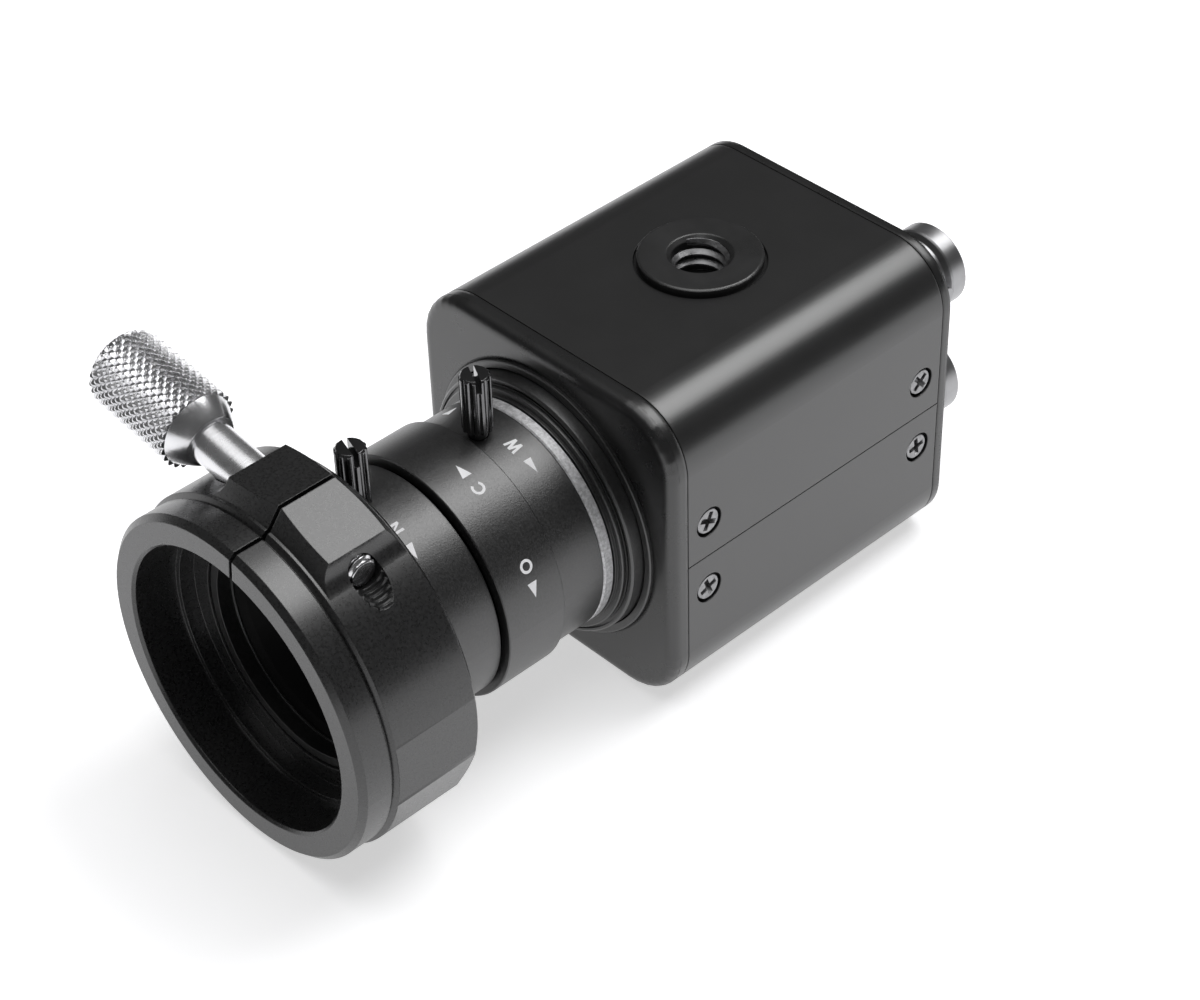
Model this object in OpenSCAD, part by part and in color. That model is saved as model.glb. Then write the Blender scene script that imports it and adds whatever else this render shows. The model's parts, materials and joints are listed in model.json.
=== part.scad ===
// Guide camera: a box camera with a varifocal lens and a split collar for an eyepiece.
// The lens looks along -Y and +Z is up. The origin is on the lens axis, where the
// straight bore of the eyepiece collar starts.

/* [Camera body] */
// Width and height of the camera box
body_w = 38; // [36:0.5:42]
// Length of the two covers
cover_len = 38.8; // [36:0.1:44]
// Radius of the box's four long edges
edge_r = 7; // [6:0.5:8]
// Wall thickness of the covers
cover_wall = 1.6; // [1.4:0.1:1.8]
// Distance from the origin to the joint between front plate and covers
seam_y = 44.4; // [44.2:0.1:44.6]
// Width of the hairline joints between the covers and plates
joint_gap = 0.12; // [0.08:0.02:0.2]
// Thickness of the back plate
back_t = 1.25; // [1.1:0.05:1.5]
// Distance from a cover screw to the end of the cover
screw_inset = 3; // [2.8:0.1:3.2]
// Distance from a cover screw to the joint line on the side
screw_z = 4.5; // [4.2:0.1:5]

/* [Tripod socket] */
// Radius of the socket's raised boss
boss_r = 6.85; // [6.5:0.05:7.5]
// Height of the boss over the box
boss_h = 0.8; // [0.5:0.1:1.2]
// Major radius of the quarter inch thread
tripod_r = 3.175; // [3.175]
// Distance from the box's front joint to the socket
boss_y = 21; // [20:0.5:23]

/* [Lens] */
// Outer radius of the zoom ring
zoom_r = 13.5; // [13.4:0.05:13.6]
// Outer radius of the iris ring
iris_r = 14.15; // [14:0.05:14.3]
// Outer radius of the focus ring
focus_r = 13.3; // [13.2:0.05:13.4]
// Number of iris blades
blade_n = 6; // [6]

/* [Eyepiece collar] */
// Bore radius for the eyepiece
bore_r = 16.2; // [16:0.05:16.4]
// Outer radius of the collar's body
collar_r = 20; // [19.8:0.1:20.4]
// Lean of the split from the top, about the lens axis
split_lean = 8; // [0:1:12]
// Distance from the lens axis to the clamp screw's axis
clamp_n = 17.8; // [17.6:0.1:18.2]
// Radius of the knurled head
knob_r = 4.5; // [4:0.1:5]
// Length of the knurled head
knob_len = 12.5; // [10:0.5:15]

/* [Hidden] */
$fn = 96;
dome_steps = 8;
// A small overlap that keeps cuts and unions clean
eps = 0.01;

// Box
half_w = body_w / 2;
cover_end = seam_y + cover_len;
back_y = cover_end + back_t;
inner_w = body_w - 2 * cover_wall;
inner_r = edge_r - cover_wall;
skirt_w = inner_w - 0.1;
skirt_t = 2.2;
skirt_len = 6;
plate_face = seam_y - 2.4;
plate_back = seam_y + 1.2;
edge_fillet = 1.2;
opening_r = 16.33;
socket_y = seam_y + boss_y;
socket_depth = 5;
socket_body_r = 5.4;
screw_head_r = 1.65;
screw_shank_r = 0.95;
screw_recess = 0.12;
screw_len = 3.4;
screw_ys = [seam_y + screw_inset, cover_end - screw_inset];

// Mount and electronics, placed from the lens mount's seat
seat_y = seam_y - 4.5;
sensor_y = seat_y + 17.526;
board_w = 29;
board_t = 1.2;
board_y = sensor_y + 1.4;
link_gap = 9;
power_y = board_y + board_t + link_gap;
post_x = 12.6;
jack_x = 9.5;
video_z = 9.5;
power_z = -5.6;
jack_r = 4.85;
jack_hole_r = 3.4;
jack_nut_r = 5.2;
jack_out = 8.4;

// Lens, placed from the same seat
base_front = seat_y - 2.3;
zoom_back = base_front - 0.02;
zoom_front = seam_y - 12.85;
iris_front = seam_y - 20.6;
focus_back = seam_y - 21;
rim_y = seam_y - 37.2;
barrel_r = 11.2;
barrel_bore = 9.8;
fit_gap = 0.05;
cell_r = 9.6;
iris_y = zoom_front - 5;
// How far the iris ring turns from open to closed
iris_turn = 50;
tab_angle = 160;
blade_t = 0.12;
blade_step = 0.18;
blade_pivot = 8.6;
blade_open = 6.2;
blade_span = 76;
zoom_cell_y = zoom_front + 1.2;
zoom_screw_y = seam_y - 11.2;
focus_screw_y = seam_y - 27.5;
thumb_r = 1.65;
thumb_top = 21.3;

// Collar, all distances behind the origin
mouth_y = -0.3;
lip_r = 19.6;
face_r = 18.95;
lip_back = 3.4;
collar_back = 14.45;
bore_len = 5.1;
step_r = 15.6;
step_y = 6.95;
lug_w = 14.9;
lug_front = 5.9;
lug_back = 12.1;
roof_top = 22.4;
roof_side = 20.7;
lug_base = 16.6;
lug_fillet = 3;
fillet_x = lug_w / 2 + lug_fillet;
fillet_z = sqrt(pow(collar_r + lug_fillet, 2) - pow(fillet_x, 2));
// The fillet's foot, a little under the round that it runs into
foot_part = (collar_r - 0.1) / (collar_r + lug_fillet);
foot_x = fillet_x * foot_part;
foot_z = fillet_z * foot_part;
flat_angles = [5, -18, 175, 198];
split_w = 0.45;
screw_y = 9;
shank_r = 2.4;
thread_r = 1.77;
thread_end = lug_w / 2 + 1.05;
shank_len = 9.4;

// ---- Shared shapes ----

// A turned shape about the lens axis, from [radius, y] points
module lathe(points) {
    rotate([-90, 0, 0])
        rotate_extrude()
            polygon(points);
}

// A cylinder along the lens axis
module ycyl(r, y0, y1) {
    translate([0, y0, 0])
        rotate([-90, 0, 0])
            cylinder(h = y1 - y0, r = r);
}

// A tube along the lens axis
module ytube(ro, ri, y0, y1) {
    lathe([[ri, y0], [ro, y0], [ro, y1], [ri, y1]]);
}

// A flat outline in x and z, pulled along y
module yslab(y0, y1) {
    translate([0, y1, 0])
        rotate([90, 0, 0])
            linear_extrude(y1 - y0)
                children();
}

// A pie slice between two angles, up to 180 degrees apart
module wedge(a0, a1, r) {
    mid = (a0 + a1) / 2;
    reach = r / cos((a1 - a0) / 4);
    polygon([
        [0, 0], [r * cos(a0), r * sin(a0)], [reach * cos((a0 + mid) / 2), reach * sin((a0 + mid) / 2)],
        [r * cos(mid), r * sin(mid)], [reach * cos((a1 + mid) / 2), reach * sin((a1 + mid) / 2)],
        [r * cos(a1), r * sin(a1)]]);
}

module rounded_square(w, r) {
    square([w - 2 * r, w], center = true);
    square([w, w - 2 * r], center = true);
    for (sx = [-1, 1], sz = [-1, 1])
        translate([sx * (w / 2 - r), sz * (w / 2 - r)])
            circle(r);
}

// A rounded square slab whose front edge is rounded too
module filleted_slab(w, r, fillet, y0, y1) {
    steps = 5;
    yslab(y0 + fillet, y1)
        rounded_square(w, r);
    hull()
        for (i = [0:steps]) {
            inset = fillet * (1 - sin(90 * i / steps));
            depth = fillet * (1 - cos(90 * i / steps));
            yslab(y0 + depth, y0 + fillet + eps)
                rounded_square(w - 2 * inset, r - inset, $fn = 32);
        }
}

// The eight places of the cover screws: axis along +x for each side
module at_cover_screws() {
    for (side = [0, 1], y = screw_ys, s = [-1, 1])
        mirror([side, 0, 0])
            translate([half_w, y, s * screw_z])
                rotate([0, 90, 0])
                    children();
}

// ---- Camera box ----

module skirt(y0, y1) {
    difference() {
        yslab(y0, y1)
            rounded_square(skirt_w, inner_r - 0.05);
        yslab(y0 - 1, y1 + 1)
            rounded_square(skirt_w - 2 * skirt_t, inner_r - 2);
    }
}

module screw_holes() {
    at_cover_screws()
        translate([0, 0, -6])
            cylinder(h = 7, r = screw_shank_r + 0.02);
}

module front_plate() {
    color("#1b1b1c")
        difference() {
            union() {
                filleted_slab(body_w, edge_r, edge_fillet, plate_face, seam_y - joint_gap);
                yslab(seam_y - joint_gap - eps, plate_back)
                    rounded_square(skirt_w, inner_r - 0.05);
                skirt(plate_back - eps, seam_y + skirt_len);
            }
            ycyl(opening_r, plate_face - 1, plate_back);
            screw_holes();
        }
}

// One half of the box: a U from the side joint over the top
module cover_half() {
    difference() {
        intersection() {
            difference() {
                yslab(seam_y, cover_end)
                    rounded_square(body_w, edge_r);
                yslab(seam_y - 1, cover_end + 1)
                    rounded_square(inner_w, inner_r);
            }
            translate([-half_w - 1, seam_y - 1, joint_gap / 2])
                cube([body_w + 2, cover_len + 2, half_w + 1]);
        }
        at_cover_screws() {
            translate([0, 0, -cover_wall - 1])
                cylinder(h = cover_wall + 2, r = screw_shank_r + 0.1);
            translate([0, 0, -0.8])
                cylinder(h = 2, r = screw_head_r + 0.15);
        }
    }
}

module upper_cover() {
    color("#1d1d1e")
        difference() {
            cover_half();
            translate([0, socket_y, half_w - cover_wall - 1])
                cylinder(h = 4, r = socket_body_r + 0.1);
            // Groove round the boss
            translate([0, socket_y, half_w - 0.35])
                cylinder(h = 2, r = boss_r + 0.35);
        }
}

module lower_cover() {
    color("#1d1d1e")
        mirror([0, 0, 1])
            cover_half();
}

module back_plate() {
    color("#161617")
        difference() {
            union() {
                yslab(cover_end + joint_gap, back_y)
                    rounded_square(body_w, edge_r);
                yslab(cover_end - 1, cover_end + joint_gap + eps)
                    rounded_square(skirt_w, inner_r - 0.05);
                skirt(cover_end - skirt_len, cover_end - 1 + eps);
            }
            screw_holes();
            for (z = [video_z, power_z])
                translate([jack_x, 0, z])
                    ycyl(jack_hole_r, cover_end - 3, back_y + 1);
        }
}

// Countersunk look of a cross-head screw: a flat head with a cross slot
module cross_screw(head_r, head_t, shank, len) {
    difference() {
        translate([0, 0, -head_t])
            cylinder(h = head_t, r = head_r);
        for (a = [0, 90])
            rotate([0, 0, a + 20])
                translate([-head_r * 0.62, -0.2, -0.45])
                    cube([head_r * 1.24, 0.4, 1]);
    }
    translate([0, 0, -len])
        cylinder(h = len - head_t + eps, r = shank);
}

module cover_screws() {
    color("#b9babc")
        at_cover_screws()
            translate([0, 0, -screw_recess])
                cross_screw(screw_head_r, 0.66, screw_shank_r, screw_len);
}

// A flanged insert, held from inside, with the tripod thread
module tripod_socket() {
    color("#2a2a2b")
        translate([0, socket_y, 0])
            difference() {
                union() {
                    translate([0, 0, half_w - 0.35])
                        cylinder(h = boss_h + 0.35 - 0.15, r = boss_r);
                    translate([0, 0, half_w + boss_h - 0.15 - eps])
                        cylinder(h = 0.15, r1 = boss_r, r2 = boss_r - 0.2);
                    translate([0, 0, half_w + boss_h - 0.15 - socket_depth])
                        cylinder(h = socket_depth, r = socket_body_r);
                }
                translate([0, 0, half_w + boss_h - socket_depth + 0.6])
                    cylinder(h = socket_depth + 1, r = tripod_r);
                // Lead-in chamfer at the mouth
                translate([0, 0, half_w + boss_h - 0.5])
                    cylinder(h = 0.5 + eps, r1 = tripod_r, r2 = tripod_r + 0.5);
            }
}

// ---- Lens mount ----

module mount_ring() {
    color("#202021")
        lathe([
            [12.7, seat_y + 5], [12.7, plate_back + 1.4], [14.2, plate_back + 1.4],
            [14.2, plate_back], [16.3, plate_back], [16.3, plate_face - 0.4],
            [16.15, plate_face - 0.5], [15.45, plate_face - 0.5], [15.45, seat_y + 5]]);
}

module adapter_ring() {
    color("#18181a")
        lathe([
            [12.7, seat_y + 4.98], [15.3, seat_y + 4.98], [15.3, seat_y + 0.2], [15.1, seat_y],
            [14.85, seat_y], [14.85, seat_y + 0.3], [14.5, seat_y + 0.3],
            [14.5, seat_y], [12.7, seat_y]]);
}

// ---- Sensor and boards ----

module board_outline() {
    square(board_w, center = true);
}

module at_posts() {
    for (sx = [-1, 1], sz = [-1, 1])
        translate([sx * post_x, 0, sz * post_x])
            children();
}

module filter_holder() {
    color("#0f0f10")
        difference() {
            union() {
                yslab(sensor_y - 5.2, board_y - 0.02)
                    square(14.5, center = true);
                yslab(board_y - 1.6, board_y - 0.02)
                    square([20, 6], center = true);
            }
            yslab(sensor_y - 2.2, board_y + 1)
                square(12.4, center = true);
            yslab(sensor_y - 6, sensor_y - 1)
                square([7.4, 6.2], center = true);
            yslab(sensor_y - 6, sensor_y - 4)
                square(9.1, center = true);
        }
}

module ir_filter() {
    color("#7fa9a6")
        yslab(sensor_y - 5.05, sensor_y - 4.02)
            square(9, center = true);
}

module image_sensor() {
    color("#2c2f33")
        difference() {
            yslab(sensor_y - 0.6, board_y - 0.02)
                square(11.4, center = true);
            yslab(sensor_y - 1, sensor_y)
                square([6.6, 5.4], center = true);
        }
}

module sensor_board() {
    color("#1f5a35")
        difference() {
            yslab(board_y, board_y + board_t)
                board_outline();
            at_posts()
                ycyl(1.1, board_y - 1, board_y + board_t + 1);
        }
}

// Small chips and passives, soldered on the back of the sensor board
module sensor_board_parts() {
    y0 = board_y + board_t;
    color("#141416")
        for (c = [[-5.5, 6, 7, 7], [5, 7, 4, 5], [-7, -6.5, 5, 3], [7.5, -5, 4, 4], [0, -10.5, 3, 2]])
            translate([c[0], 0, c[1]])
                yslab(y0, y0 + 1)
                    square([c[2], c[3]], center = true);
}

// Hexagonal posts in two sets: front plate to sensor board, and on to the power board
module board_standoffs() {
    color("#c8a24a")
        at_posts() {
            difference() {
                yslab(plate_back, board_y)
                    circle(2.1, $fn = 6);
                ycyl(0.8, board_y - 4, board_y + 1);
            }
            difference() {
                yslab(board_y + board_t, power_y)
                    circle(2.1, $fn = 6);
                ycyl(0.8, power_y - 3, power_y + 1);
            }
            ycyl(0.78, board_y - 2, board_y + board_t + eps);
        }
}

module board_screws() {
    color("#c9cacc")
        at_posts()
            translate([0, power_y + board_t, 0])
                rotate([-90, 0, 0])
                    translate([0, 0, 1.1])
                        cross_screw(1.7, 1.1, 0.78, 4.6);
}

// Board to board connector: a socket and a header that meet halfway
module board_link() {
    color("#101012")
        translate([0, 0, 12]) {
            yslab(board_y + board_t, power_y - 4.5)
                square([15, 4], center = true);
            yslab(power_y - 4.5 - eps, power_y)
                square([13, 3], center = true);
        }
}

module power_board() {
    color("#1f5a35")
        difference() {
            yslab(power_y, power_y + board_t)
                board_outline();
            at_posts()
                ycyl(1.1, power_y - 1, power_y + board_t + 1);
        }
}

module power_board_parts() {
    y0 = power_y + board_t;
    color("#17171a") {
        // Chips
        for (c = [[-8, 6, 6, 8], [-9, -5, 4, 4], [0, -8, 5, 3]])
            translate([c[0], 0, c[1]])
                yslab(y0, y0 + 1.2)
                    square([c[2], c[3]], center = true);
        // Electrolytic capacitors
        for (c = [[1, 1.5], [-4, -10.5]])
            translate([c[0], 0, c[1]])
                ycyl(1.8, y0, y0 + 5);
    }
}

// ---- Jacks on the back plate ----

// Bayonet jack: a threaded barrel, a flange, two studs and a rolled rim at the end
module jack_shell() {
    lathe([
        [2.3, cover_end - 5.5], [3.35, cover_end - 5.5], [3.35, back_y],
        [4.7, back_y], [4.7, back_y + 1.4], [4.15, back_y + 1.7],
        [4.15, back_y + 5.6], [4.7, back_y + 6], [jack_r, back_y + 6.2],
        [jack_r, back_y + jack_out - 0.25], [4.6, back_y + jack_out],
        [4.05, back_y + jack_out], [4.05, back_y + 2.6], [2.3, back_y + 2.6]]);
    for (s = [-1, 1])
        translate([s * 4.1, back_y + 4.4, 0])
            rotate([0, s * 90, 0])
                cylinder(h = 1.3, r = 0.95);
}

module jack_insulator() {
    lathe([
        [0.75, cover_end - 6], [2.28, cover_end - 6], [2.28, back_y + 7.6],
        [0.75, back_y + 7.6]]);
}

// Socket contact with a solder tail
module jack_pin() {
    difference() {
        union() {
            ycyl(0.72, cover_end - 9, back_y + 7.4);
            ycyl(0.5, cover_end - 10.5, cover_end - 8.9);
        }
        ycyl(0.4, back_y + 3, back_y + 8);
    }
}

// Hexagon nut and lock washer inside the back plate
module jack_nut() {
    difference() {
        union() {
            yslab(cover_end - 3.1, cover_end - 1.5)
                circle(jack_nut_r, $fn = 6);
            ycyl(jack_nut_r * 0.9, cover_end - 1.5 - eps, cover_end - 1.02);
        }
        ycyl(jack_hole_r - 0.02, cover_end - 4, cover_end);
    }
}

module video_jack_shell() {
    color("#d2d3d5")
        translate([jack_x, 0, video_z])
            jack_shell();
}

module video_jack_insulator() {
    color("#efeee8")
        translate([jack_x, 0, video_z])
            jack_insulator();
}

module video_jack_pin() {
    color("#c8a24a")
        translate([jack_x, 0, video_z])
            jack_pin();
}

module video_jack_nut() {
    color("#c4c5c8")
        translate([jack_x, 0, video_z])
            jack_nut();
}

module power_jack_shell() {
    color("#d2d3d5")
        translate([jack_x, 0, power_z])
            jack_shell();
}

module power_jack_insulator() {
    color("#efeee8")
        translate([jack_x, 0, power_z])
            jack_insulator();
}

module power_jack_pin() {
    color("#c8a24a")
        translate([jack_x, 0, power_z])
            jack_pin();
}

module power_jack_nut() {
    color("#c4c5c8")
        translate([jack_x, 0, power_z])
            jack_nut();
}

// ---- Lens: fixed parts ----

// The bright base with the mount thread, and the shoulder that the zoom ring runs on
module lens_base() {
    color("#cfd0d3")
        lathe([
            [11.25, seat_y + 4.6], [12.65, seat_y + 4.6], [12.65, seat_y - 0.95],
            [zoom_r, seat_y - 1.05], [zoom_r, base_front + 0.2],
            [zoom_r - 0.15, base_front], [11.25, base_front]]);
}

// The dark shoulder ring that seats on the adapter
module stop_ring() {
    color("#141415")
        lathe([
            [12.68, seat_y - 0.9], [13.7, seat_y - 0.9], [13.7, seat_y - 0.55],
            [14.3, seat_y - 0.55], [14.4, seat_y - 0.45], [14.4, seat_y - 0.02],
            [12.68, seat_y - 0.02]]);
}

// The inner tube that carries everything from the base to the focus thread
module lens_barrel() {
    color("#232325")
        difference() {
            union() {
                lathe([
                    [barrel_bore, rim_y + 6.5], [barrel_r, rim_y + 6.5],
                    [barrel_r, seat_y + 4.4], [barrel_bore, seat_y + 4.4]]);
                // Flange between the iris ring and the focus ring
                ytube(12.6, barrel_r - eps, iris_front + 0.3, focus_back + 1.4);
            }
            // Slot for the iris ring's driving tab
            yslab(iris_y + 0.2, iris_y + 1.8)
                wedge(tab_angle - 6, tab_angle + iris_turn + 6, barrel_r + 1);
        }
}

module rear_cell() {
    color("#161617")
        lathe([
            [5.4, seat_y + 3.4], [barrel_bore - 0.02, seat_y + 3.4],
            [barrel_bore - 0.02, seat_y + 0.6], [7.1, seat_y + 0.6],
            [7.1, seat_y + 2.6], [5.4, seat_y + 2.6]]);
}

// The height of a dome of radius r and rise h, at each of its steps from the axis out
function dome(r, h) = [for (i = [0:dome_steps])
    let(x = r * i / dome_steps, ball = h == 0 ? 1 : (r * r + h * h) / (2 * h))
    [x, h == 0 ? 0 : sqrt(ball * ball - x * x) - ball + h]];

// A lens element: a flat rim, with a domed front and a domed back
module element(r, y, t, rise_front, rise_back) {
    front = dome(r, rise_front);
    back = dome(r, rise_back);
    lathe(concat(
        [for (p = front) [p[0], y - p[1]]],
        [for (i = [dome_steps:-1:0]) [back[i][0], y + t + back[i][1]]]));
}

module rear_lens() {
    color("#8fb0c4", 0.5)
        element(7.08, seat_y + 0.62, 1.9, 0.6, 0);
}

// ---- Lens: zoom ----

module zoom_ring() {
    color("#1e1e20")
        difference() {
            lathe([
                [barrel_r + fit_gap, zoom_front + 0.05], [zoom_r, zoom_front + 0.05],
                [zoom_r, zoom_back - 0.15], [zoom_r - 0.15, zoom_back],
                [barrel_r + fit_gap, zoom_back]]);
            translate([0, zoom_screw_y, 0])
                cylinder(h = 20, r = 1.05);
        }
}

// A slotted thumb screw with a fluted head, standing on top of its ring
module thumb_screw(y, ring_r, slot_angle) {
    head_z = ring_r + 1;
    crown = 0.25;
    color("#121213")
        translate([0, y, 0])
            difference() {
                union() {
                    translate([0, 0, head_z])
                        cylinder(h = thumb_top - head_z - crown, r = thumb_r);
                    translate([0, 0, thumb_top - crown - eps])
                        cylinder(h = crown, r1 = thumb_r - 0.02, r2 = thumb_r - 0.25);
                    translate([0, 0, barrel_r + 0.15])
                        cylinder(h = head_z - barrel_r, r = 1);
                }
                // Flutes round the head
                for (a = [0:30:330])
                    rotate([0, 0, a])
                        translate([thumb_r + 0.12, 0, head_z - 1])
                            cylinder(h = 12, r = 0.3);
                // Screwdriver slot
                rotate([0, 0, slot_angle])
                    translate([-2, -0.28, thumb_top - 1.5])
                        cube([4, 0.56, 3]);
            }
}

module zoom_lock_screw() {
    thumb_screw(zoom_screw_y, zoom_r, -27);
}

module zoom_cell() {
    y0 = zoom_cell_y;
    color("#161617")
        difference() {
            ycyl(cell_r, y0, y0 + 4.6);
            ycyl(6.9, y0 - 1, y0 + 1.6);
            ycyl(5.8, y0 - 1, y0 + 6);
            ycyl(6.4, y0 + 3.2, y0 + 6);
        }
}

module zoom_front_lens() {
    color("#8fb0c4", 0.5)
        element(6.88, zoom_cell_y + 0.2, 1.38, 0.7, 0);
}

module zoom_rear_lens() {
    color("#8fb0c4", 0.5)
        element(6.38, zoom_cell_y + 3.22, 1.2, 0, 0.5);
}

// ---- Lens: iris ----

module iris_ring() {
    color("#1e1e20") {
        lathe([
            [barrel_r + fit_gap, iris_front + 2.2], [12.9, iris_front + 2.2],
            [12.9, iris_front], [iris_r - 0.12, iris_front], [iris_r, iris_front + 0.12],
            [iris_r, zoom_front - 0.17], [iris_r - 0.12, zoom_front - 0.05],
            [barrel_r + fit_gap, zoom_front - 0.05]]);
        // Tab that reaches through the barrel to drive the blades
        rotate([0, -tab_angle, 0])
            translate([barrel_bore + 0.2, iris_y + 0.6, -0.6])
                cube([2, 0.8, 1.2]);
    }
}

module iris_plate() {
    color("#2b2b2d")
        difference() {
            ycyl(barrel_bore - 0.02, iris_y - 1, iris_y);
            ycyl(blade_open - 0.4, iris_y - 2, iris_y + 1);
            for (i = [0:blade_n - 1])
                rotate([0, -i * 360 / blade_n, 0])
                    translate([blade_pivot, 0, 0])
                        ycyl(0.4, iris_y - 2, iris_y + 1);
        }
}

// One curved blade on its pivot pin, drawn with the iris open
module iris_blade(i) {
    y0 = iris_y + 0.06 + i * blade_step;
    rotate([0, -i * 360 / blade_n, 0]) {
        translate([blade_pivot, 0, 0])
            ycyl(0.35, iris_y - 0.8, y0 + blade_t - eps);
        yslab(y0, y0 + blade_t) {
            difference() {
                intersection() {
                    circle(blade_pivot - 0.75);
                    wedge(-7, blade_span, 12);
                }
                circle(blade_open);
            }
            difference() {
                translate([blade_pivot, 0])
                    circle(1);
                circle(blade_open + 0.6);
            }
        }
    }
}

module iris_blade_1() { color("#3a3a3d") iris_blade(0); }
module iris_blade_2() { color("#3a3a3d") iris_blade(1); }
module iris_blade_3() { color("#3a3a3d") iris_blade(2); }
module iris_blade_4() { color("#3a3a3d") iris_blade(3); }
module iris_blade_5() { color("#3a3a3d") iris_blade(4); }
module iris_blade_6() { color("#3a3a3d") iris_blade(5); }

module iris_cover() {
    y0 = iris_y + 0.12 + blade_n * blade_step;
    color("#2b2b2d")
        ytube(barrel_bore - 0.02, blade_open - 0.2, y0, y0 + 0.4);
}

// ---- Lens: focus ----

module focus_ring() {
    color("#1e1e20")
        difference() {
            lathe([
                [12.1, rim_y], [focus_r - 0.15, rim_y], [focus_r, rim_y + 0.15],
                [focus_r, focus_back - 0.1], [focus_r - 0.1, focus_back],
                [12.7, focus_back], [12.7, focus_back - 1.2],
                [barrel_r + fit_gap, focus_back - 1.2], [barrel_r + fit_gap, rim_y + 6.2],
                [11.9, rim_y + 6.2], [11.9, rim_y + 1.8], [12.1, rim_y + 1.8]]);
            translate([0, focus_screw_y, 0])
                cylinder(h = 20, r = 1.05);
        }
}

module focus_lock_screw() {
    thumb_screw(focus_screw_y, focus_r, -17);
}

module focus_cell() {
    y0 = rim_y + 7;
    color("#161617")
        difference() {
            ycyl(cell_r, y0, y0 + 4.6);
            ycyl(8.2, y0 - 1, y0 + 1.6);
            ycyl(7, y0 - 1, y0 + 6);
            ycyl(7.6, y0 + 3.2, y0 + 6);
        }
}

module focus_front_lens() {
    color("#7d8fb8", 0.5)
        element(8.18, rim_y + 7.2, 1.38, 1.2, 0);
}

module focus_rear_lens() {
    color("#8fb0c4", 0.5)
        element(7.58, rim_y + 10.22, 1.2, 0, 0.5);
}

// The beauty ring in front of the first element
module name_ring() {
    color("#101011")
        lathe([
            [11, rim_y + 2.6], [11.88, rim_y + 2], [11.88, rim_y + 4.4],
            [9, rim_y + 5.6], [8.8, rim_y + 5.2]]);
}

// ---- Eyepiece collar ----

// The collar's own frame: x along the clamp screw, z through the split
module collar_frame() {
    rotate([0, split_lean, 0])
        children();
}

// The raised lug that the clamp screw crosses: a roof of two flats, with sloped ends
// and a concave fillet that runs each side wall into the round of the collar
module lug() {
    intersection() {
        yslab(lip_back + 0.65, collar_back - 0.4)
            difference() {
                polygon([
                    [-foot_x, foot_z], [-lug_w / 2, lug_base], [lug_w / 2, lug_base],
                    [foot_x, foot_z], [fillet_x, fillet_z], [lug_w / 2, fillet_z],
                    [lug_w / 2, roof_side], [0, roof_top], [-lug_w / 2, roof_side],
                    [-lug_w / 2, fillet_z], [-fillet_x, fillet_z]]);
                for (s = [-1, 1])
                    translate([s * fillet_x, fillet_z])
                        circle(lug_fillet);
            }
        lathe([
            [0, lip_back + 0.6], [collar_r - 0.6, lip_back + 0.6],
            [roof_top + 0.2, lug_front], [roof_top + 0.2, lug_back],
            [collar_r - 0.2, collar_back - 0.3], [0, collar_back - 0.3]]);
    }
}

module clamp_collar() {
    color("#1a1a1b")
        collar_frame()
            difference() {
                union() {
                    lathe([
                        [bore_r, 0], [bore_r + 0.3, mouth_y], [face_r, mouth_y],
                        [lip_r, mouth_y + 0.65], [lip_r, lip_back],
                        [lip_r - 0.3, lip_back + 0.2], [collar_r, lip_back + 0.65],
                        [collar_r, collar_back - 0.35], [collar_r - 0.35, collar_back],
                        [focus_r + 0.3, collar_back], [focus_r + 0.02, collar_back - 0.3],
                        [focus_r + 0.02, step_y], [step_r, step_y],
                        [step_r, bore_len], [bore_r, bore_len]]);
                    lug();
                }
                // Split
                translate([-split_w / 2, mouth_y - 1, 0])
                    cube([split_w, collar_back + 3, 30]);
                // Screw way: clearance on the knob's side, thread on the other
                translate([0, screw_y, clamp_n])
                    rotate([0, 90, 0])
                        cylinder(h = 20, r = thread_r + 0.05);
                translate([0, screw_y, clamp_n])
                    rotate([0, -90, 0])
                        cylinder(h = 20, r = shank_r + 0.1);
                // Wrench flats low on each side
                for (a = flat_angles)
                    rotate([0, -a, 0])
                        translate([collar_r - 0.35, lip_back + 0.65, -collar_r])
                            cube([5, collar_back, 2 * collar_r]);
            }
}

module clamp_screw() {
    head_back = -(lug_w / 2 + shank_len);
    color("#c9cbcd")
        collar_frame()
            translate([0, screw_y, clamp_n])
                rotate([0, 90, 0])
                    rotate_extrude()
                        polygon([
                            [0, head_back - knob_len], [knob_r - 1.2, head_back - knob_len],
                            [knob_r - 0.35, head_back - knob_len + 0.5],
                            [knob_r, head_back - knob_len + 1.4], [knob_r, head_back],
                            [shank_r + 0.5, head_back + 2.2], [shank_r, head_back + 2.3],
                            [shank_r, -split_w / 2 - 0.4], [thread_r, -split_w / 2],
                            [thread_r, thread_end - 0.3], [thread_r - 0.3, thread_end],
                            [0, thread_end]]);
}

front_plate();
upper_cover();
lower_cover();
back_plate();
cover_screws();
tripod_socket();
mount_ring();
adapter_ring();
filter_holder();
ir_filter();
image_sensor();
sensor_board();
sensor_board_parts();
board_standoffs();
board_screws();
board_link();
power_board();
power_board_parts();
video_jack_shell();
video_jack_insulator();
video_jack_pin();
video_jack_nut();
power_jack_shell();
power_jack_insulator();
power_jack_pin();
power_jack_nut();
lens_base();
stop_ring();
lens_barrel();
rear_cell();
rear_lens();
zoom_ring();
zoom_lock_screw();
zoom_cell();
zoom_front_lens();
zoom_rear_lens();
iris_ring();
iris_plate();
iris_blade_1();
iris_blade_2();
iris_blade_3();
iris_blade_4();
iris_blade_5();
iris_blade_6();
iris_cover();
focus_ring();
focus_lock_screw();
focus_cell();
focus_front_lens();
focus_rear_lens();
name_ring();
clamp_collar();
clamp_screw();
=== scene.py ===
"""Guide camera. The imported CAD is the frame; detailed pieces, materials, light and camera are made here."""
import json
import math

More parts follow.
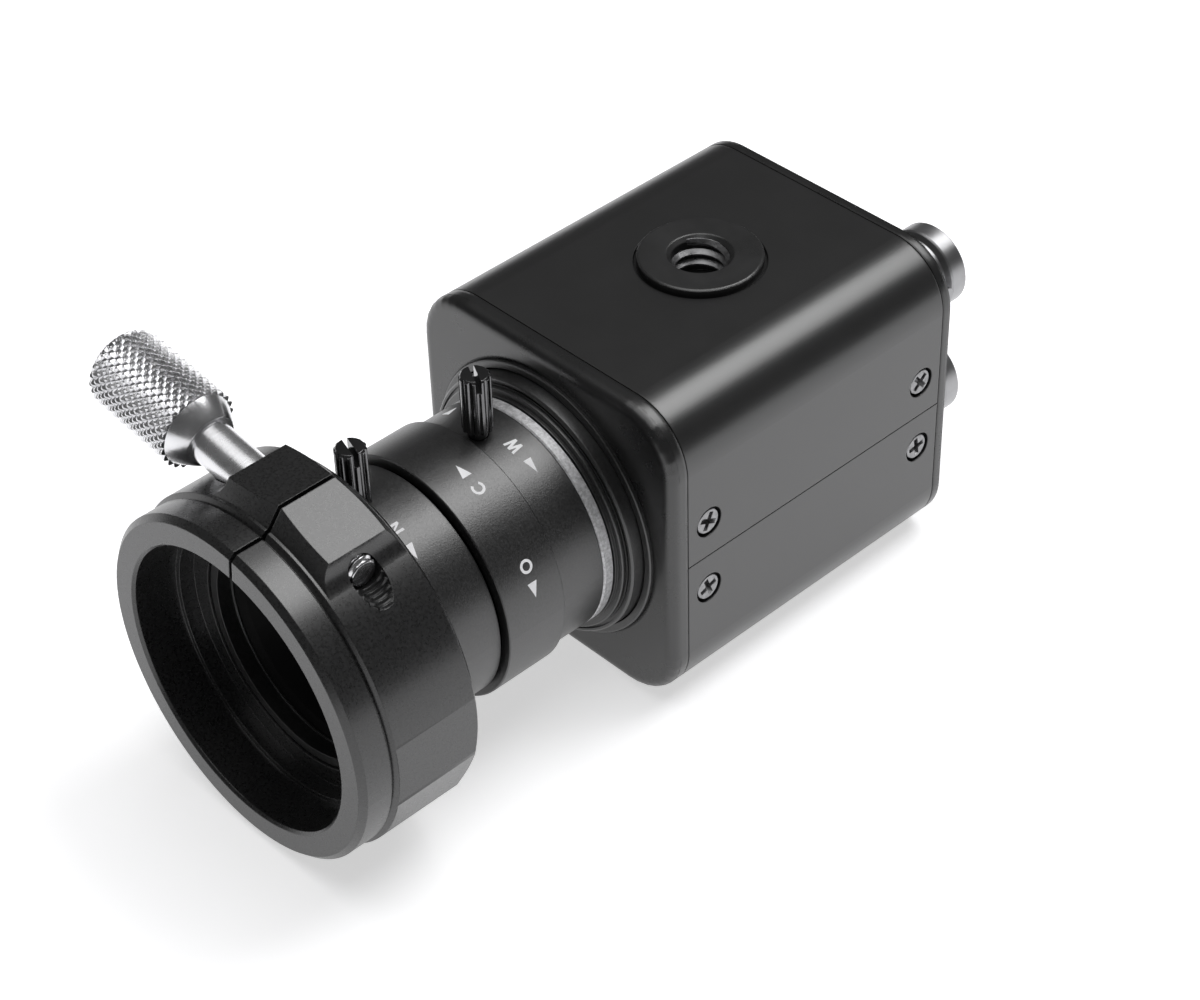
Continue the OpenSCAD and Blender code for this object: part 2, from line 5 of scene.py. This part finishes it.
import bmesh
import bpy
from mathutils import Matrix, Vector


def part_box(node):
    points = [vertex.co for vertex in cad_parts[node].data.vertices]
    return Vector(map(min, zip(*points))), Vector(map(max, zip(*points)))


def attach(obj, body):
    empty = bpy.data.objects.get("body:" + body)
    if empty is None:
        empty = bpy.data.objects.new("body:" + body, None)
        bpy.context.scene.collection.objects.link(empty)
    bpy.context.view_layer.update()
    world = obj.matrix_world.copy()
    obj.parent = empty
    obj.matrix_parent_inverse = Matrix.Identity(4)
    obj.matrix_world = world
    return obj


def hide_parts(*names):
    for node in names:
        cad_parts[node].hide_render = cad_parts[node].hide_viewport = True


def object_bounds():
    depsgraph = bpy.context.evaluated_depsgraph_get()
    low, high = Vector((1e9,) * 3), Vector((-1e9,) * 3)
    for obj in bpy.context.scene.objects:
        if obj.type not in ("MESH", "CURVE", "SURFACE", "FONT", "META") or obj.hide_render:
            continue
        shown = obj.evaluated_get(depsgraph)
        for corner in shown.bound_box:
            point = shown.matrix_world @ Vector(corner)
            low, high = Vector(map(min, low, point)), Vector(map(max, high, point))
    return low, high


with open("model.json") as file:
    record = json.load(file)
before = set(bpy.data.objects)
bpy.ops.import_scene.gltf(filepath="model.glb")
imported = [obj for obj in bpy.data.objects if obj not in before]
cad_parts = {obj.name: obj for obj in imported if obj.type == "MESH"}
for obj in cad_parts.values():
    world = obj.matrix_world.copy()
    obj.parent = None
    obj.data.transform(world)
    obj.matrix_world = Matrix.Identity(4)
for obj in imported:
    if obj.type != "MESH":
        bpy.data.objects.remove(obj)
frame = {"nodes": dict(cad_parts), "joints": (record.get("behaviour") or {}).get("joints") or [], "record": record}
cad_lo, cad_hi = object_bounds()
nodes = frame["nodes"]

MM = 0.001
TAU = 2 * math.pi


# ---- Camera, placed from the box's front joint on the lens axis ----

VIEW_AZIMUTH = 47.347
VIEW_ELEVATION = 39.897
VIEW_ROLL = -1.829
VIEW_LENS = 86.82
# Millimetres from the joint to the camera, along its own right, down and back
VIEW_RIGHT, VIEW_DOWN, VIEW_BACK = 3.988, 1.469, 309.556


def make_camera():
    azimuth, elevation, roll = (math.radians(a) for a in (VIEW_AZIMUTH, VIEW_ELEVATION, VIEW_ROLL))
    back = Vector((math.sin(azimuth) * math.cos(elevation), -math.cos(azimuth) * math.cos(elevation),
                   math.sin(elevation)))
    right = Vector((math.cos(azimuth), math.sin(azimuth), 0))
    up = back.cross(right)
    x = right * math.cos(roll) + up * math.sin(roll)
    y = up * math.cos(roll) - right * math.sin(roll)
    joint = Vector((0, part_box("upper_cover")[0].y, 0))
    data = bpy.data.cameras.new("view")
    data.sensor_width = 36
    data.lens = VIEW_LENS
    data.clip_start, data.clip_end = 0.01, 10
    cam = bpy.data.objects.new("view", data)
    place = Matrix((x, y, back)).transposed().to_4x4()
    place.translation = joint + (x * VIEW_RIGHT - y * VIEW_DOWN + back * VIEW_BACK) * MM
    cam.matrix_world = place
    bpy.context.collection.objects.link(cam)
    bpy.context.scene.camera = cam


make_camera()


# ---- Floor and light ----

# Half the floor's width, in metres
FLOOR_HALF = 1.5
# Millimetres of rounding at the collar's back, and of air under the part
COLLAR_ROUNDING = 0.35
FLOOR_GAP = 0.05


def make_floor():
    """The floor touches the collar's underside and the box's lower back edge."""
    collar_lo, collar_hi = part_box("clamp_collar")
    box_lo, box_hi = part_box("back_plate")
    front = Vector((0, collar_hi.y - COLLAR_ROUNDING * MM, collar_lo.z))
    rear = Vector((0, box_hi.y, box_lo.z))
    slope = math.atan2(rear.z - front.z, rear.y - front.y)
    mesh = bpy.data.meshes.new("floor")
    corners = [(x * FLOOR_HALF, y * FLOOR_HALF, 0) for x, y in ((-1, -1), (1, -1), (1, 1), (-1, 1))]
    mesh.from_pydata(corners, [], [(0, 1, 2, 3)])
    floor = bpy.data.objects.new("floor", mesh)
    low = front - Vector((0, 0, FLOOR_GAP * MM))
    floor.matrix_world = Matrix.Translation(low) @ Matrix.Rotation(slope, 4, "X")
    bpy.context.collection.objects.link(floor)
    return floor


def area_light(name, direction, distance, size, power, aim):
    data = bpy.data.lights.new(name, "AREA")
    data.shape = "RECTANGLE"
    data.size, data.size_y = size
    data.energy = power
    light = bpy.data.objects.new(name, data)
    offset = Vector(direction).normalized() * distance
    light.location = aim + offset
    light.rotation_euler = (-offset).to_track_quat("-Z", "Y").to_euler()
    bpy.context.collection.objects.link(light)
    return light


floor = make_floor()
middle = (cad_lo + cad_hi) / 2
area_light("key", (0.12, 0.52, 0.84), 0.9, (0.5, 0.5), 3.5, middle)
area_light("zenith", (0, 0, 1), 1.2, (1.2, 1.2), 8, middle)
world = bpy.data.worlds.new("studio")
world.use_nodes = True
world.node_tree.nodes["Background"].inputs["Color"].default_value = (1, 1, 1, 1)
world.node_tree.nodes["Background"].inputs["Strength"].default_value = 0.1
bpy.context.scene.world = world
bpy.context.scene.view_settings.view_transform = "Standard"


# ---- Materials ----

class Nodes:
    """Makes one node material, with its Principled shader as .shader."""

    def __init__(self, name):
        self.material = bpy.data.materials.new(name)
        self.material.use_nodes = True
        self.tree = self.material.node_tree
        self.shader = self.tree.nodes["Principled BSDF"]
        self.place = self.add("ShaderNodeTexCoord").outputs["Object"]

    def add(self, kind, **values):
        node = self.tree.nodes.new(kind)
        for key, value in values.items():
            if key in node.inputs:
                node.inputs[key].default_value = value
            else:
                setattr(node, key, value)
        return node

    def link(self, a, b):
        self.tree.links.new(a, b)

    def noise(self, size_mm, detail=3, rough=0.6, vector=None):
        """Noise whose blotches are about size_mm across."""
        vector = self.place if vector is None else vector
        node = self.add("ShaderNodeTexNoise", Scale=1 / (size_mm * MM), Detail=detail, Roughness=rough)
        self.link(vector, node.inputs["Vector"])
        return node.outputs["Fac"]

    def turned(self, axis="Y"):
        """A vector that is the same all the way round an axis, for lathe marks."""
        split = self.add("ShaderNodeSeparateXYZ")
        self.link(self.place, split.inputs[0])
        across = self.add("ShaderNodeCombineXYZ")
        for name in "XYZ".replace(axis, ""):
            self.link(split.outputs[name], across.inputs[name])
        length = self.add("ShaderNodeVectorMath", operation="LENGTH")
        self.link(across.outputs[0], length.inputs[0])
        rings = self.add("ShaderNodeCombineXYZ")
        self.link(length.outputs["Value"], rings.inputs["X"])
        self.link(split.outputs[axis], rings.inputs["Y"])
        return rings.outputs[0]

    def ramp(self, value, low, high, start=0.3, end=0.7):
        node = self.add("ShaderNodeMapRange")
        node.inputs["From Min"].default_value, node.inputs["From Max"].default_value = start, end
        node.inputs["To Min"].default_value, node.inputs["To Max"].default_value = low, high
        self.link(value, node.inputs["Value"])
        return node.outputs["Result"]

    def mix(self, value, dark, light):
        node = self.add("ShaderNodeMix", data_type="RGBA")
        self.link(value, node.inputs["Factor"])
        node.inputs["A"].default_value = (*dark, 1)
        node.inputs["B"].default_value = (*light, 1)
        return node.outputs["Result"]

    def bumps(self, heights, edge=0.0):
        """Chains (value, depth in mm, strength) bumps over softly rounded edges."""
        normal = None
        if edge:
            node = self.add("ShaderNodeBevel", samples=6)
            node.inputs["Radius"].default_value = edge * MM
            normal = node.outputs["Normal"]
        for value, depth, strength in heights:
            node = self.add("ShaderNodeBump", Strength=strength, Distance=depth * MM)
            self.link(value, node.inputs["Height"])
            if normal is not None:
                self.link(normal, node.inputs["Normal"])
            normal = node.outputs["Normal"]
        self.link(normal, self.shader.inputs["Normal"])


def grey(v):
    return (v, v, v * 1.02)


def finish(name, colour, spread=0.15, metallic=0.0, rough=(0.3, 0.4), blotch=6.0, grain=0.15, depth=0.004,
           strength=0.3, edge=0.1, lathe=0.0, lathe_depth=0.002, axis="Y", gap_shade=0.0, **sockets):
    """A surface with blotches of colour and gloss, a fine grain, soft edges, and optionally painted shade that
    takes the shine out of narrow gaps. Sizes are in millimetres.
    """
    n = Nodes(name)
    broad = n.noise(blotch, 4)
    fine = n.noise(grain, 2, 0.7)
    light = tuple(c * (1 + spread) for c in colour)
    dark = tuple(c * (1 - spread) for c in colour)
    n.link(n.mix(n.ramp(broad, 0, 1), dark, light), n.shader.inputs["Base Color"])
    n.link(n.ramp(broad, *rough), n.shader.inputs["Roughness"])
    heights = [(fine, depth, strength)]
    if lathe:
        heights.append((n.noise(lathe, 2, 0.5, n.turned(axis)), lathe_depth, 0.35))
    n.bumps(heights, edge)
    n.shader.inputs["Metallic"].default_value = metallic
    for key, value in sockets.items():
        n.shader.inputs[key.replace("_", " ")].default_value = value
    if gap_shade:
        # Painted shade: an ambient occlusion ramp takes the shine out of narrow gaps, so seams between parts read
        # darker
        shade = n.add("ShaderNodeAmbientOcclusion", samples=4)
        shade.inputs["Distance"].default_value = gap_shade * MM
        shine = n.shader.inputs["Specular IOR Level"]
        n.link(n.ramp(shade.outputs["AO"], 0, shine.default_value, 0.15, 0.6), shine)
    return n.material


# body_black and cover_black carry painted shade: their shine is dimmed by ambient occlusion in narrow gaps
looks = {
    "body_black": finish("body_black", grey(0.009), rough=(0.26, 0.3), grain=0.3, depth=0.005, edge=0.6,
                         gap_shade=0.5, Specular_IOR_Level=0.8),
    "cover_black": finish("cover_black", grey(0.01), spread=0.05, rough=(0.29, 0.31), grain=0.22, depth=0.012,
                          strength=0.6, edge=0.18, gap_shade=0.5, Specular_IOR_Level=1.0),
    "lens_black": finish("lens_black", grey(0.012), spread=0.9, rough=(0.3, 0.38), blotch=0.24, grain=0.16,
                         depth=0.03, strength=0.6, edge=0.1, Specular_IOR_Level=1.0),
    "collar_black": finish("collar_black", grey(0.012), spread=0.7, rough=(0.26, 0.31), blotch=0.3,
                           grain=0.25, depth=0.004, edge=0.14, lathe=0.35, Specular_IOR_Level=0.8),
    "inner_black": finish("inner_black", grey(0.003), rough=(0.5, 0.65), edge=0.06, lathe=0.4,
                          Specular_IOR_Level=0.08),
    "screw_black": finish("screw_black", grey(0.16), metallic=1.0, rough=(0.12, 0.2), grain=0.2, depth=0.003,
                          edge=0.07),
    "screw_steel": finish("screw_steel", grey(0.27), spread=0.3, metallic=1.0, rough=(0.26, 0.42), blotch=0.5,
                          grain=0.18, depth=0.012, strength=0.5, edge=0.06),
    "turned_steel": finish("turned_steel", grey(0.78), metallic=1.0, rough=(0.18, 0.3), grain=0.3,
                           depth=0.004, edge=0.05, lathe=0.3, lathe_depth=0.006, axis="Z"),
    "lens_silver": finish("lens_silver", grey(0.5), spread=0.35, metallic=0.6, rough=(0.45, 0.55),
                          blotch=0.35, grain=0.2, depth=0.05, strength=0.9, edge=0.08),
    "socket_metal": finish("socket_metal", grey(0.014), rough=(0.26, 0.34), grain=0.12, depth=0.005,
                           edge=0.22, Specular_IOR_Level=1.0),
    "nickel": finish("nickel", grey(0.34), metallic=1.0, rough=(0.28, 0.4), depth=0.002, edge=0.1),
    "contact_gold": finish("contact_gold", (0.85, 0.6, 0.25), metallic=1.0, rough=(0.15, 0.25), edge=0.04),
    "post_brass": finish("post_brass", (0.72, 0.52, 0.25), metallic=1.0, rough=(0.3, 0.45), edge=0.06),
    "insulator_white": finish("insulator_white", (0.82, 0.81, 0.77), rough=(0.4, 0.5), edge=0.06,
                              Subsurface_Weight=0.1),
    "plastic_black": finish("plastic_black", grey(0.015), rough=(0.45, 0.55), edge=0.08),
    "board_green": finish("board_green", (0.02, 0.13, 0.055), rough=(0.25, 0.35), grain=0.5, edge=0.05),
    "chip_black": finish("chip_black", grey(0.02), rough=(0.4, 0.55), edge=0.06),
    "sensor_die": finish("sensor_die", (0.05, 0.055, 0.07), rough=(0.1, 0.2), edge=0.05),
    "filter_glass": finish("filter_glass", (0.45, 0.8, 0.78), rough=(0.02, 0.05), edge=0,
                           Transmission_Weight=0.9, IOR=1.5),
    "lens_glass": finish("lens_glass", (0.02, 0.02, 0.032), rough=(0.01, 0.03), edge=0, strength=0.0,
                         Transmission_Weight=0.95, IOR=1.04, Specular_IOR_Level=0.0),
}
mark_white = finish("mark_white", grey(0.8), rough=(0.5, 0.65), grain=0.1, depth=0.004, edge=0)
floor.data.materials.append(finish("floor_paper", grey(0.86), spread=0.01, rough=(0.7, 0.8), blotch=40,
                                   grain=0.5, depth=0.01, strength=0.1, edge=0,
                                   Emission_Color=(1, 1, 1, 1), Emission_Strength=0.56))

slots = {s["node"]: s["material_slot"] for s in frame["record"]["subparts"]}
# The ring around the front glass is as dull and dark as the inside of the lens
shown_as = {"name_ring": "inner_black"}
for name, obj in nodes.items():
    for slot in obj.material_slots:
        slot.material = looks[shown_as.get(name, slots[name])]


# ---- Pieces ----

def add_piece(name, mesh, body, slot, place=None, replaces=None, material=None, sharp=35):
    """Turns a bmesh made in millimetres into a shown piece that moves with a CAD body."""
    bmesh.ops.scale(mesh, vec=(MM, MM, MM), verts=mesh.verts)
    bmesh.ops.recalc_face_normals(mesh, faces=mesh.faces)
    data = bpy.data.meshes.new(name)
    mesh.to_mesh(data)
    mesh.free()
    data.shade_smooth()
    data.set_sharp_from_angle(angle=math.radians(sharp))
    data.materials.append(material or looks[slot])
    piece = bpy.data.objects.new(name, data)
    piece.matrix_world = place or Matrix.Identity(4)
    bpy.context.collection.objects.link(piece)
    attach(piece, body)
    if replaces:
        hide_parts(replaces)
    return piece


def axis_place(position, axis, across):
    """A frame at position with Z along axis and X along across."""
    z = Vector(axis).normalized()
    x = Vector(across).normalized()
    place = Matrix((x, z.cross(x), z)).transposed().to_4x4()
    place.translation = Vector(position)
    return place


def joint_named(name):
    return next(j for j in frame["joints"] if j["name"] == name)


def add_ring(mesh, z, radii, turns):
    return [mesh.verts.new((r * math.cos(a), r * math.sin(a), z)) for r, a in zip(radii, turns)]


def skin(mesh, rings, valley=None):
    """Joins rings into a closed skin. valley(ring, point) picks the diagonal along which a quad folds."""
    for i, (low, high) in enumerate(zip(rings, rings[1:])):
        for k in range(len(low)):
            n = (k + 1) % len(low)
            corners = low[k], low[n], high[n], high[k]
            if valley is None:
                mesh.faces.new(corners)
                continue
            if not valley(i, k):
                corners = corners[1:] + corners[:1]
            mesh.faces.new((corners[0], corners[1], corners[2]))
            mesh.faces.new((corners[0], corners[2], corners[3]))
    mesh.faces.new(reversed(rings[0]))
    mesh.faces.new(rings[-1])


# ---- Clamp screw: knurled knob, plain shank and threaded end ----

KNURL_COUNT = 25
KNURL_DEPTH = 0.36
# Mesh steps in half a diamond; a diamond's flat crest reaches one step from its middle
KNURL_STEPS = 4
KNOB_LENGTH = 12.5
KNOB_ROUND = 1.3
SHANK_R = 2.4
CONE_LENGTH = 2.2
THREAD_PITCH = 0.7
THREAD_ROOT = 1.46
THREAD_CREST = 1.76


def along_axis(node, place):
    """(lowest, highest, widest) of a CAD node's mesh along and about an axis, in millimetres."""
    points = [place.inverted() @ v.co / MM for v in nodes[node].data.vertices]
    return min(p.z for p in points), max(p.z for p in points), max(math.hypot(p.x, p.y) for p in points)


def thread_radius(z, turn, end):
    """The radius of a screw thread's flank at height z and at a share of a turn, with its end chamfered."""
    wave = abs((z / THREAD_PITCH - turn) % 1 * 2 - 1)
    height = min(max((wave - 0.15) / 0.7, 0), 1)
    return min(THREAD_ROOT + (THREAD_CREST - THREAD_ROOT) * height, THREAD_ROOT - 0.05 + (end - z) * 0.9)


def off_crest(step):
    """Mesh steps from the nearest middle line of a row of diamonds."""
    period = 2 * KNURL_STEPS
    return abs((step + KNURL_STEPS) % period - KNURL_STEPS)


def groove(row, k):
    """Depth of the diamond knurl, as a share of the full depth, where two sets of 45 degree grooves cross."""
    return max(max(off_crest(row + k), off_crest(row - k)) - 1, 0) / (KNURL_STEPS - 1)


def make_clamp_screw():
    joint = joint_named("clamp_screw_turn")
    place = axis_place(joint["pos_m"], joint["axis"], (0, 1, 0))
    start, end, knob_r = along_axis("clamp_screw", place)
    count = 2 * KNURL_STEPS * KNURL_COUNT
    turns = [TAU * k / count for k in range(count)]
    mesh = bmesh.new()
    rings = []
    # Rounded far end, which the knurl runs onto
    rows = round(KNOB_LENGTH / (TAU * knob_r / count))
    rings.append(add_ring(mesh, start, [knob_r - KNOB_ROUND] * count, turns))
    for row in range(1, rows + 1):
        z = KNOB_LENGTH * row / rows
        drop = max(KNOB_ROUND - z, 0)
        rounded = knob_r - KNOB_ROUND + math.sqrt(KNOB_ROUND ** 2 - drop ** 2)
        fade = min(1, z / KNOB_ROUND)
        radii = [rounded - KNURL_DEPTH * fade * groove(row, k) for k in range(count)]
        rings.append(add_ring(mesh, start + z, radii, turns))
    last = len(rings)
    # Cone and shank
    back = start + KNOB_LENGTH
    for z, r in ((back + 0.03, knob_r - KNURL_DEPTH - 0.02), (back + CONE_LENGTH - 0.1, SHANK_R + 0.55),
                 (back + CONE_LENGTH, SHANK_R + 0.4), (back + CONE_LENGTH + 0.02, SHANK_R), (-0.65, SHANK_R),
                 (-0.25, THREAD_ROOT)):
        rings.append(add_ring(mesh, z, [r] * count, turns))
    # Thread
    steps = int((end + 0.2) / THREAD_PITCH * 10)
    for step in range(steps + 1):
        z = -0.2 + (end + 0.2) * step / steps
        rings.append(add_ring(mesh, z, [thread_radius(z, k / count, end) for k in range(count)], turns))
    skin(mesh, rings, lambda i, k: i >= last or off_crest(i - k) > off_crest(i + k + 1))
    add_piece("clamp_screw_knurled", mesh, "clamp_screw", "turned_steel", place, "clamp_screw", sharp=28)
    return place, end


clamp_place, clamp_end = make_clamp_screw()


# ---- Screw threads in holes ----

# A ridge's half width at its foot and tip, as shares of the pitch
RIDGE_FOOT = 0.42
RIDGE_TIP = 0.06
# Steps over which a ridge grows from a tenth of its height
RIDGE_GROWTH = 15
TRIPOD_PITCH = 1.27


def make_thread(name, body, slot, place, root, crest, pitch, start, end, reach=None, steps=60):
    """A ridge that winds up a hole's wall. It stops where reach(turn), the hole's length there, ends."""
    mesh = bmesh.new()
    half, flat = pitch * RIDGE_FOOT, pitch * RIDGE_TIP
    total = int((end - start) / pitch * steps)
    previous = None
    for i in range(total + 1):
        a = TAU * i / steps
        z = start + pitch * i / steps
        if i == total or (reach and z > reach[i % steps]):
            if previous:
                mesh.faces.new(previous)
            previous = None
            continue
        grow = min(1, 0.1 + i / RIDGE_GROWTH, 0.1 + (total - i) / RIDGE_GROWTH)
        tip = root + (crest - root) * grow
        ring = [mesh.verts.new((r * math.cos(a), r * math.sin(a), z + dz))
                for r, dz in ((root, -half), (tip, -flat), (tip, flat), (root, half))]
        if previous:
            for k in range(4):
                n = (k + 1) % 4
                mesh.faces.new((previous[k], previous[n], ring[n], ring[k]))
        else:
            mesh.faces.new(reversed(ring))
        previous = ring
    add_piece(name, mesh, body, slot, place)


def make_tripod_thread():
    mount = next(m for m in frame["record"]["mounts"] if m["name"] == "tripod_socket")
    radius, length = mount["dims"]["r_mm"], mount["dims"]["length_mm"]
    place = axis_place(mount["pos_m"], mount["axis"], (1, 0, 0))
    make_thread("tripod_thread", "camera_body", "screw_steel", place, radius + 0.06, radius - 0.5,
                TRIPOD_PITCH, -length / 2 + 0.3, length / 2 - 0.45)


def make_clamp_thread():
    """The tapped hole breaks out of the collar on a slope, so its thread stops where the wall does."""
    steps = 60
    wall_r = 1.95
    collar = nodes["clamp_collar"]
    inward = -clamp_place.col[2].to_3d()
    reach = []
    for k in range(steps):
        a = TAU * k / steps
        outside = clamp_place @ Vector((wall_r * math.cos(a) * MM, wall_r * math.sin(a) * MM, 0.03))
        hit, where, normal, face = collar.ray_cast(outside, inward)
        reach.append((clamp_place.inverted() @ where).z / MM - 0.15 if hit else 0)
    make_thread("clamp_thread", "focus_ring", "collar_black", clamp_place, 1.86, 1.58, THREAD_PITCH,
                clamp_end - 0.1, max(reach) + 0.3, reach, steps)


make_tripod_thread()
make_clamp_thread()


# ---- Cover screws ----

HEAD_R = 1.5
# From the edge of the CAD screws' box to the axis of the nearest screw
SCREW_INSET = 1.65
CROSS_REACH = 1.14
CROSS_HALF = 0.3
CROSS_TURNS = (20, 64, 8, 41)


def cross_radius(a):
    """How far a plus-shaped recess reaches at angle a."""
    c, s = max(abs(math.cos(a)), 1e-6), max(abs(math.sin(a)), 1e-6)
    return max(min(CROSS_REACH / c, CROSS_HALF / s), min(CROSS_HALF / c, CROSS_REACH / s))


def add_cross_screw(mesh, place):
    corner = math.atan2(CROSS_HALF, CROSS_REACH)
    quarter = [0, corner / 2, corner, corner / 2 + math.pi / 8, math.pi / 4, math.pi * 3 / 8 - corner / 2,
               math.pi / 2 - corner, math.pi / 2 - corner / 2]
    turns = [q * math.pi / 2 + a for q in range(4) for a in quarter]
    count = len(turns)
    cross = [cross_radius(a) for a in turns]
    ring_shapes = [(-3, [0.9] * count), (-1, [0.95] * count), (-0.4, [HEAD_R - 0.02] * count),
                   (-0.08, [HEAD_R] * count), (0, [HEAD_R - 0.09] * count), (0, cross),
                   (-0.1, [r * 0.95 for r in cross]), (-0.8, [r * 0.62 for r in cross]),
                   (-0.9, [0.1] * count)]
    rings = [add_ring(mesh, z, radii, turns) for z, radii in ring_shapes]
    skin(mesh, rings)
    for vert in (v for ring in rings for v in ring):
        vert.co = place @ vert.co


def make_cover_screws():
    low, high = (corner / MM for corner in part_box("cover_screws"))
    mesh = bmesh.new()
    places = [(side, y, z) for side in (-1, 1) for y in (low.y + SCREW_INSET, high.y - SCREW_INSET)
              for z in (low.z + SCREW_INSET, high.z - SCREW_INSET)]
    for i, (side, y, z) in enumerate(places):
        turn = math.radians(CROSS_TURNS[i % 4])
        across = Vector((0, math.cos(turn), math.sin(turn)))
        add_cross_screw(mesh, axis_place((side * high.x, y, z), (side, 0, 0), across))
    add_piece("cover_screw_heads", mesh, "camera_body", "screw_steel", replaces="cover_screws")


make_cover_screws()


# ---- White marks on the rings: generic letters and pointers ----

STROKE = 0.3
LETTER_HALF = 0.77
# Millimetres a mark stands proud of its ring, and reaches into it
MARK_HEIGHT = 0.015
MARK_ROOT = 0.03


def filled(points):
    """A flat shape from an outline, cut fine enough to follow a ring's curve."""
    mesh = bmesh.new()
    mesh.faces.new([mesh.verts.new((x, y, 0)) for x, y in points])
    bmesh.ops.triangulate(mesh, faces=mesh.faces, ngon_method="EAR_CLIP")
    bmesh.ops.subdivide_edges(mesh, edges=mesh.edges, cuts=3, use_grid_fill=True)
    return mesh


def arc_band(gap=0.0, outer=0.76, steps=48):
    """A round letter: a full ring, or one with a gap of that many degrees to the right."""
    mesh = bmesh.new()
    span = TAU - math.radians(gap)
    count = steps if gap else steps + 1
    pairs = []
    for i in range(count if gap else steps):
        a = math.radians(gap) / 2 + span * i / (count - 1)
        pairs.append([mesh.verts.new((r * math.cos(a), r * math.sin(a), 0)) for r in (outer - STROKE, outer)])
    if not gap:
        pairs.append(pairs[0])
    for (a, b), (c, d) in zip(pairs, pairs[1:]):
        mesh.faces.new((a, b, d, c))
    return mesh


def letter_w(w=0.82, h=LETTER_HALF, t=STROKE):
    notch = (w - 1.5 * t) / (w - t / 2)
    notch_x, notch_y = t / 2 + notch * w / 2, h * (1 - 2 * notch)
    peak = h * (1 - 2 * t / w)
    return filled([(-w, h), (-w + t, h), (-notch_x, notch_y), (-t / 2, h), (t / 2, h), (notch_x, notch_y),
                   (w - t, h), (w, h), ((w + t) / 2, -h), ((w - t) / 2, -h), (0, peak), (-(w - t) / 2, -h),
                   (-(w + t) / 2, -h)])


def letter_n(w=0.62, h=LETTER_HALF, t=STROKE):
    slant = h * 0.45
    return filled([(-w, -h), (-w, h), (-w + t, h), (w - t, -slant), (w - t, h), (w, h), (w, -h), (w - t, -h),
                   (-w + t, slant), (-w + t, -h)])


def letter_t(w=0.6, h=LETTER_HALF, t=STROKE):
    return filled([(-w, h), (-w, h - t), (-t / 2, h - t), (-t / 2, -h), (t / 2, -h), (t / 2, h - t),
                   (w, h - t), (w, h)])


def pointer(way, length=1.75, half=0.6):
    return filled([(-way * length / 2, half), (-way * length / 2, -half), (way * length / 2, 0)])


def add_mark(name, node, angle, y, flat):
    """Wraps a flat shape onto a ring at an angle about the lens axis, its top towards the front."""
    middle = math.radians(angle)
    outside = Vector((math.cos(middle) * 0.04, y * MM, math.sin(middle) * 0.04))
    hit, where, normal, face = nodes[node].ray_cast(outside, Vector((-outside.x, 0, -outside.z)).normalized())
    ring_r = math.hypot(where.x, where.z) / MM

    def wrap(co, radius):
        a = middle + co.x / ring_r
        return Vector((radius * math.cos(a), y - co.y, radius * math.sin(a)))

    mesh = bmesh.new()
    top = {v: mesh.verts.new(wrap(v.co, ring_r + MARK_HEIGHT)) for v in flat.verts}
    under = {v: mesh.verts.new(wrap(v.co, ring_r - MARK_ROOT)) for v in flat.verts}
    for f in flat.faces:
        mesh.faces.new([top[v] for v in f.verts])
        mesh.faces.new([under[v] for v in reversed(f.verts)])
    for e in flat.edges:
        if e.is_boundary:
            a, b = e.verts
            mesh.faces.new((top[a], top[b], under[b], under[a]))
    flat.free()
    add_piece(name, mesh, node, "insulator_white", material=mark_white)


def make_marks():
    zoom_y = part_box("zoom_ring")[0].y / MM + 3.25
    iris_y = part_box("iris_ring")[0].y / MM + 4.1
    focus_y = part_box("focus_ring")[1].y / MM - 5.25
    add_mark("mark_wide", "zoom_ring", 75, zoom_y, letter_w())
    add_mark("mark_wide_pointer", "zoom_ring", 62.6, zoom_y, pointer(-1, half=0.5))
    add_mark("mark_tele", "zoom_ring", 119.3, zoom_y + 0.3, letter_t(t=0.17))
    add_mark("mark_close", "iris_ring", 65.8, iris_y, arc_band(gap=80))
    add_mark("mark_close_pointer", "iris_ring", 76.2, iris_y, pointer(1))
    add_mark("mark_open", "iris_ring", 27.8, iris_y, arc_band())
    add_mark("mark_open_pointer", "iris_ring", 16.9, iris_y, pointer(-1))
    add_mark("mark_near", "focus_ring", 71, focus_y, letter_n())
    add_mark("mark_near_pointer", "focus_ring", 58.2, focus_y - 0.12, pointer(-1))


make_marks()
